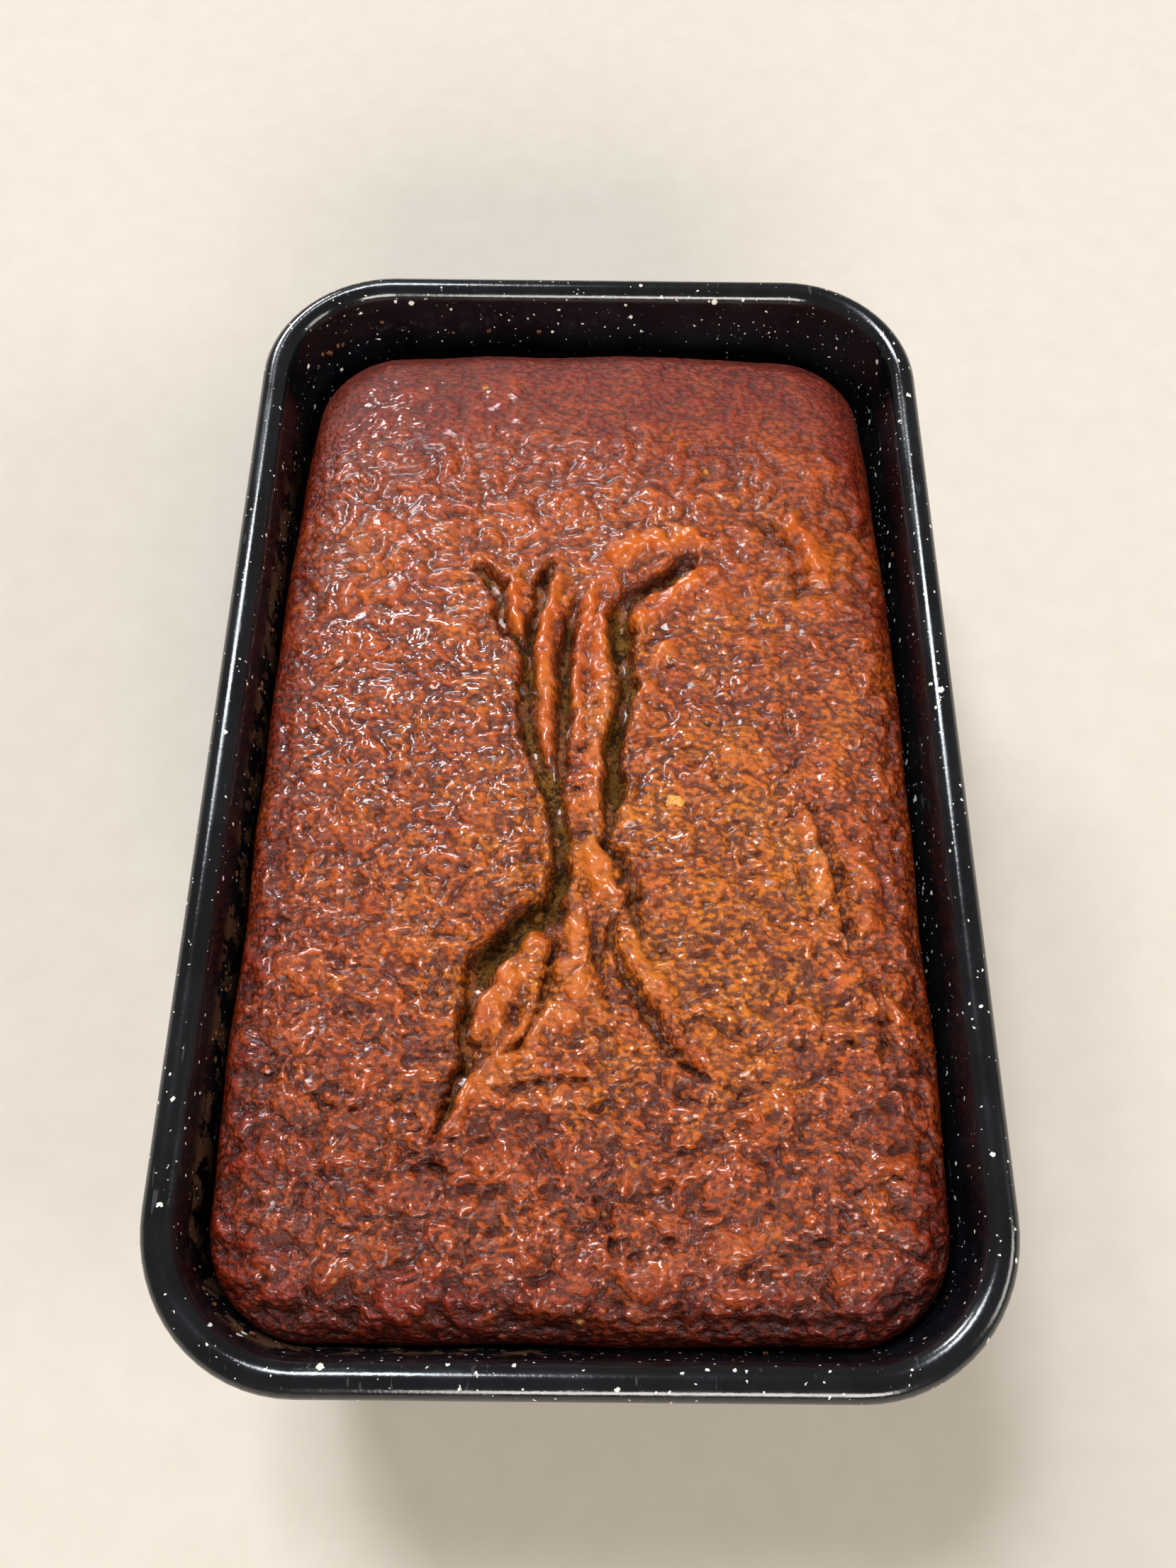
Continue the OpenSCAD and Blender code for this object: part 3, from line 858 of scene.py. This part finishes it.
# %% The crumb's finish
crumb_finish, tree, shader, place = new_material("moist_crumb")
fine = place_group(tree, grain, place, Size=1.1, Pores=0.9)
tone = place_group(tree, patches, place, Size=6.0, Contrast=1.2)["Mask"]
khaki = mix_color(tree, tone, (0.120, 0.044, 0.0015, 1), (0.250, 0.100, 0.005, 1))
# Painted shade: the pores are painted near black, as the shade inside them.
bready = mix_color(tree, fine["Pores"], khaki, (0.035, 0.012, 0.001, 1))
paint(tree, shader, bready, mix_value(tree, fine["Pores"], 0.6, 0.85))
shader.inputs["Specular IOR Level"].default_value = 0.25
roughen(tree, shader, fine["Height"], 0.8, 0.6 * MM)
print("crumb:", len(tree.nodes), "nodes")

# %% The crumb's top
PAN_CRUST_THICKNESS = 1.5 * MM
CLEARANCE = 0.1 * MM
crumb_radius = loaf_radius - PAN_CRUST_THICKNESS - CLEARANCE
x, y = outline_grid(crumb_radius, 241, 141)
relief, depth, _ = crust_fields(x, y)
bubbles, _, _ = granules(x, y, 2.6 * MM, 51)
in_split = ease(depth, 0, 2 * MM)
inner_top = dome(x, y) + relief - CRUST_THICKNESS + in_split * (0.9 * MM * (bubbles - 0.5) - 0.5 * MM)
inner_top -= 0.5 * np.maximum(depth - 2.8 * MM, 0)
inner_top = np.maximum(inner_top, edge_z + 0.5 * MM)
rings = [np.stack([x, y, inner_top], -1).reshape(-1, 3)]
faces = grid_faces(*x.shape)
upper = border(*x.shape)
print("crumb top:", len(faces), "faces")


# %% The crumb's sides and base
FOOT_CENTRE = 8.5 * MM
FOOT_RADIUS = 5.6 * MM
FOOT_HEIGHT = 6.6 * MM


def side_levels(inset, count):
    """Corner radius and height of rings up the loaf's side, from its foot to its edge, inside its skin."""
    turn = np.linspace(-np.pi / 2, -0.15, 6)
    bend = [(FOOT_CENTRE + (FOOT_RADIUS - inset) * np.cos(a), FOOT_HEIGHT + (FOOT_RADIUS - inset) * np.sin(a))
            for a in turn]
    share = np.linspace(0, 1, count + 1)[1:]
    start = np.array(bend[-1])
    tip = np.array([loaf_radius - inset, edge_z])
    return bend + [tuple(start + s * (tip - start)) for s in share]


def ring_at(radius, height, shape):
    """A ring of points round the outline, with as many points as a grid's border has."""
    ring_x, ring_y = outline_grid(radius, *shape)
    picked = np.array(border(*shape))
    return np.stack([ring_x.ravel()[picked], ring_y.ravel()[picked], np.full(len(picked), height)], 1)


for radius, height in reversed(side_levels(PAN_CRUST_THICKNESS + CLEARANCE, 9)[:-1]):
    offset = sum(len(r) for r in rings)
    rings.append(ring_at(radius, height, x.shape))
    lower = list(range(offset, offset + len(rings[-1])))
    faces += band_faces(lower, upper)
    upper = lower
faces.append(upper[::-1])
crumb = mesh_piece("moist_crumb", uneven(np.concatenate(rings)), faces, crumb_finish)
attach(crumb, "loaf")
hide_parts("crumb")
print("crumb:", sum(len(face) - 2 for face in faces), "triangles")

# %% [markdown]
# ## The pan crust
# Where the loaf touches the tin, the crust is thin, dry and matt, and a shade lighter than on top. It
# keeps the tin's own shape, down to the print of the base's raised panel, but steam has pitted it and
# greased patches have browned it unevenly. It is modelled as a trough: an outer skin of rings over a
# fine grid, and a plain inner skin.

# %% The pan crust's finish
pan_finish, tree, shader, place = new_material("matt_pan_crust")
scorch_and_pit_shade = stored(tree, "scorch_and_pit_shade")
fine = place_group(tree, grain, place, Size=1.4, Pores=0.45)
clouds = place_group(tree, patches, place, Size=12.0, Contrast=1.3)["Mask"]
toast = mix_color(tree, clouds, (0.30, 0.115, 0.030, 1), (0.20, 0.062, 0.016, 1))
# This mask is scorching near the top and in patches, and painted shade in the pits.
toast = mix_color(tree, scorch_and_pit_shade, toast, (0.085, 0.024, 0.008, 1))
# Painted shade: the pores are painted a darker brown, as the shade inside them.
toast = mix_color(tree, fine["Pores"], toast, (0.11, 0.040, 0.013, 1))
paint(tree, shader, toast, mix_value(tree, clouds, 0.5, 0.72))
roughen(tree, shader, fine["Height"], 0.7, 0.45 * MM)
print("pan crust:", len(tree.nodes), "nodes")


# %% Build the pan crust
def pitting(points):
    """How far steam has pitted the pan crust at points, and how dark it is there: scorched near the top and
    in patches, and painted darker in the pits as shade.
    """
    x, y, z = points.T
    u, v = x + 0.8 * z, y + 0.6 * z
    bubble, size, _ = granules(u, v, 5 * MM, 61)
    pores, _, _ = granules(u, v, 2.2 * MM, 62)
    pits = 0.55 * MM * (size < 0.5) * bump(bubble, 0.2)
    pits = pits + 0.16 * MM * bump(pores, 0.25)
    pits += 0.12 * MM * (1 + hills(u, v, 9 * MM, 63))
    scorch_and_pit_shade = 0.45 * ease(z, 0.55 * edge_z, edge_z) + 0.3 * np.clip(hills(u, v, 16 * MM, 64), 0, 1)
    # The pits are also painted darker here, as the shade in them.
    return pits, np.clip(scorch_and_pit_shade + 0.5 * pits / MM, 0, 1)


BASE_SHAPE = (181, 105)
PANEL_RADIUS = 2.5 * MM
PANEL_HEIGHT = 2.2 * MM
PANEL_FOOT = (5.1 * MM, 1.0 * MM)
base_x, base_y = outline_grid(PANEL_RADIUS, *BASE_SHAPE)
base = np.stack([base_x, base_y, np.full(base_x.shape, PANEL_HEIGHT)], -1).reshape(-1, 3)
pits, scorch_and_pit_shade = pitting(base)
base[:, 2] += pits
rings, marks = [base], [scorch_and_pit_shade]
faces = grid_faces(*BASE_SHAPE, up=False)
lower = border(*BASE_SHAPE)
outer = [PANEL_FOOT] + side_levels(0, 34)
inner = side_levels(PAN_CRUST_THICKNESS, 6)[::-1]
for number, (radius, height) in enumerate(outer + inner):
    ring = ring_at(radius, height, BASE_SHAPE)
    pits, scorch_and_pit_shade = pitting(ring)
    if number < len(outer):
        ring = ring_at(radius - np.mean(pits), height, BASE_SHAPE)
        middle = np.array([corner_x, corner_y])
        outward = ring[:, :2] - np.clip(ring[:, :2], -middle, middle)
        ring[:, :2] -= outward / np.linalg.norm(outward, axis=1)[:, None] * (pits - np.mean(pits))[:, None]
    offset = sum(len(r) for r in rings)
    rings.append(ring)
    marks.append(scorch_and_pit_shade)
    upper = list(range(offset, offset + len(ring)))
    faces += band_faces(lower, upper)
    lower = upper
faces.append(lower)
pan_crust = mesh_piece("matt_pan_crust", uneven(np.concatenate(rings)), faces, pan_finish,
                       {"scorch_and_pit_shade": np.concatenate(marks)})
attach(pan_crust, "loaf")
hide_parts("pan_crust")
print("pan crust:", sum(len(face) - 2 for face in faces), "triangles")

# %% [markdown]
# ## Banana
# Mashed banana bakes into soft, glossy, amber lumps. Most of them lie hidden in the crumb, one shows in
# the crust beside the splits, and one lies just under a split. Each is a sphere of small faces pushed
# in and out by noise, because a lump of fruit has no edges. Those two are set by the crust's own height,
# so the first peeps out of it.

# %% The banana's finish
banana_finish, tree, shader, place = new_material("baked_banana")
strands = place_group(tree, patches, place, Size=1.6, Contrast=1.5)["Mask"]
amber = mix_color(tree, strands, (0.66, 0.27, 0.045, 1), (0.80, 0.44, 0.11, 1))
fine = place_group(tree, grain, place, Size=0.8, Pores=0.2)
# Painted shade: the pores are painted a darker amber, as the shade inside them.
amber = mix_color(tree, fine["Pores"], amber, (0.36, 0.10, 0.015, 1))
paint(tree, shader, amber, mix_value(tree, strands, 0.18, 0.34))
roughen(tree, shader, fine["Height"], 0.6, 0.3 * MM)
print("banana:", len(tree.nodes), "nodes")

# %% Build the banana lumps
# Each lump: its place in plan, depth of its centre below the plain dome, and radius, in millimetres.
lumps = [
    (17, -15, 1.0, 2.0), (-9, -36, 6.6, 2.1), (-38, 22, 14, 5), (-20, -62, 16, 4), (24, 48, 18, 5),
    (34, -48, 20, 4.5), (6, 8, 26, 5.5), (-30, 74, 24, 4), (40, 4, 28, 4), (-34, -20, 32, 5),
    (14, -84, 24, 4.5), (-8, 52, 34, 4.5), (28, 84, 32, 3.5), (-44, -72, 30, 3.5),
]
NEAR_TOP = 2
parts, part_faces = [], []
for number, (px, py, deep, radius) in enumerate(lumps):
    shape = bmesh.new()
    bmesh.ops.create_icosphere(shape, subdivisions=5 if number < NEAR_TOP else 4, radius=1)
    ball = np.array([v.co[:] for v in shape.verts])
    offset = sum(len(part) for part in parts)
    part_faces += [[offset + v.index for v in face.verts] for face in shape.faces]
    shape.free()
    here = np.array([px, py]) * MM
    wobble = 1 + 0.2 * hills(ball[:, 0] + number, ball[:, 1] + 0.7 * ball[:, 2], 0.8, 71)
    wobble += 0.07 * hills(ball[:, 0] + ball[:, 2], ball[:, 1] + number, 0.3, 72)
    ball = ball * wobble[:, None] * (1.1, 0.95, 0.85) * radius * MM
    ground = dome(here[:1], here[1:])
    if number < NEAR_TOP:
        ground = ground + crust_fields(here[:1], here[1:])[0]
    parts.append(ball + np.array([here[0], here[1], float(ground[0]) - deep * MM]))
banana = mesh_piece("baked_banana", uneven(np.concatenate(parts)), part_faces, banana_finish)
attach(banana, "loaf")
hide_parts("banana_pieces")
print("banana:", len(lumps), "lumps,", len(part_faces), "triangles")

# %% [markdown]
# ## Crumbs baked on to the wall
# Above the loaf, spatters of batter have dried and burnt on to the tin, most of them on the left. They
# repeat with chance sizes and places, which is what Geometry Nodes are for: a strip that follows the
# wall is scattered with points where its own "amount" is high, and each point becomes a small,
# flattened, 80-faced crumb. The result is turned into a plain mesh, so that it can ride on the tin.

# %% The wall strip that carries the crumbs
WALL_STEPS = 5
BEAD_TO_WALL = 2.97 * MM
WALL_TOP = rim_middle + 0.39 * MM


def wall_radius(height):
    """Corner radius of the tin's food side at a height, inwards of the bead's middle and of the lean."""
    return rim_corner - BEAD_RADIUS - BEAD_TO_WALL - (WALL_TOP - height) * WALL_LEAN


strip_points, strip_faces, amount = [], [], []
lower = None
for height in np.linspace(rim_middle - 8.5 * MM, rim_middle - 3 * MM, WALL_STEPS):
    ring = ring_at(wall_radius(height), height, (121, 61))
    upper = list(range(len(strip_points), len(strip_points) + len(ring)))
    strip_points += ring.tolist()
    left = ease(-ring[:, 0], 0.4 * half_x, half_x)
    patchy = np.clip(2.2 * hills(ring[:, 1] + ring[:, 0], ring[:, 2], 14 * MM, 81), 0, 1)
    low_down = ease(rim_middle - ring[:, 2], 3 * MM, 8 * MM)
    amount += ((0.12 + left) * patchy * low_down).tolist()
    if lower:
        strip_faces += band_faces(lower, upper)
    lower = upper
strip_mesh = bpy.data.meshes.new("wall_strip")
strip_mesh.from_pydata(strip_points, [], strip_faces)
strip_mesh.flip_normals()
strip_mesh.attributes.new("amount", "FLOAT", "POINT").data.foreach_set("value", amount)
strip = bpy.data.objects.new("wall_strip", strip_mesh)
bpy.context.scene.collection.objects.link(strip)
print("wall strip:", len(strip_faces), "faces")

# %% The burnt crumbs' finish
burnt_finish, tree, shader, place = new_material("burnt_crumbs")
tone = place_group(tree, patches, place, Size=1.5, Contrast=1.4)["Mask"]
fine = place_group(tree, grain, place, Size=0.5, Pores=0.5)
burnt = mix_color(tree, tone, (0.035, 0.010, 0.004, 1), (0.20, 0.070, 0.018, 1))
# Painted shade: the pores are painted near black, as the shade inside them.
burnt = mix_color(tree, fine["Pores"], burnt, (0.012, 0.004, 0.002, 1))
paint(tree, shader, burnt, mix_value(tree, tone, 0.35, 0.65))
roughen(tree, shader, fine["Height"], 0.6, 0.2 * MM)
print("burnt crumbs:", len(tree.nodes), "nodes")


# %% Scatter tree for small crumbs
def scatter_tree(name, finish, numbers):
    """A Geometry Nodes tree that scatters crumbs where a surface's own amount is high."""
    nodes = bpy.data.node_groups.new(name, "GeometryNodeTree")
    nodes.interface.new_socket("Surface", in_out="INPUT", socket_type="NodeSocketGeometry")
    for key, value in numbers.items():
        kind = "NodeSocketInt" if key == "Seed" else "NodeSocketFloat"
        nodes.interface.new_socket(key, in_out="INPUT", socket_type=kind).default_value = value
    nodes.interface.new_socket("Crumbs", in_out="OUTPUT", socket_type="NodeSocketGeometry")
    given = add(nodes, "NodeGroupInput").outputs
    amount = add(nodes, "GeometryNodeInputNamedAttribute", {"Name": "amount"}, data_type="FLOAT")
    crowd = times(nodes, amount.outputs["Attribute"], given["Density"])
    spread = add(nodes, "GeometryNodeDistributePointsOnFaces",
                 {"Mesh": given["Surface"], "Density": crowd, "Seed": given["Seed"]},
                 distribute_method="RANDOM")
    ball = add(nodes, "GeometryNodeMeshIcoSphere", {"Radius": 1.0, "Subdivisions": 2})
    knobs = add(nodes, "ShaderNodeTexNoise", {"Scale": 1.3, "Detail": 1.0})
    push = vectors(nodes, "SUBTRACT", knobs.outputs["Color"], MIDDLE)
    push = add(nodes, "ShaderNodeVectorMath", {0: push, 3: 1.6}, operation="SCALE").outputs[0]
    crumb_shape = add(nodes, "GeometryNodeSetPosition", {"Geometry": ball.outputs["Mesh"], "Offset": push})
    widths = add(nodes, "FunctionNodeRandomValue", {"Min": given["Smallest"], "Max": given["Largest"],
                                                    "Seed": given["Seed"]}, data_type="FLOAT")
    turned = add(nodes, "FunctionNodeRandomValue", {"Min": (0, 0, 0), "Max": (0, 0, 2 * math.pi)},
                 data_type="FLOAT_VECTOR")
    facing = add(nodes, "FunctionNodeRotateRotation",
                 {"Rotation": spread.outputs["Rotation"], "Rotate By": turned.outputs[0]},
                 rotation_space="LOCAL")
    thick = times(nodes, widths.outputs[1], given["Flatness"])
    flat = add(nodes, "ShaderNodeCombineXYZ", {"X": widths.outputs[1], "Y": widths.outputs[1], "Z": thick})
    placed = add(nodes, "GeometryNodeInstanceOnPoints",
                 {"Points": spread.outputs["Points"], "Instance": crumb_shape.outputs[0],
                  "Rotation": facing.outputs[0], "Scale": flat.outputs[0]})
    real = add(nodes, "GeometryNodeRealizeInstances", {"Geometry": placed.outputs[0]})
    done = add(nodes, "GeometryNodeSetMaterial", {"Geometry": real.outputs[0], "Material": finish})
    nodes.links.new(done.outputs[0], add(nodes, "NodeGroupOutput").inputs["Crumbs"])
    return nodes


def scattered(name, surface, nodes, **values):
    """Runs a scatter tree on a surface with its own values, and returns the crumbs as a plain mesh object."""
    modifier = surface.modifiers.new("crumbs", "NODES")
    modifier.node_group = nodes
    for item in nodes.interface.items_tree:
        if item.item_type == "SOCKET" and item.in_out == "INPUT" and item.name in values:
            modifier[item.identifier] = values[item.name]
    evaluated = surface.evaluated_get(bpy.context.evaluated_depsgraph_get())
    mesh = bpy.data.meshes.new_from_object(evaluated)
    mesh.name = name
    bpy.data.objects.remove(surface)
    piece = bpy.data.objects.new(name, mesh)
    bpy.context.scene.collection.objects.link(piece)
    return piece


crumb_scatter = scatter_tree("crumb_scatter", burnt_finish,
                             {"Density": 1e5, "Smallest": 2e-4, "Largest": 7e-4, "Flatness": 0.5, "Seed": 5})
wall_crumbs = scattered("burnt_wall_crumbs", strip, crumb_scatter, Density=2.4e5, Smallest=0.15 * MM,
                        Largest=0.62 * MM, Flatness=0.5, Seed=5)
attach(wall_crumbs, "tin")
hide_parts("baked_on_crumbs")
print("wall crumbs:", len(wall_crumbs.data.polygons), "faces")
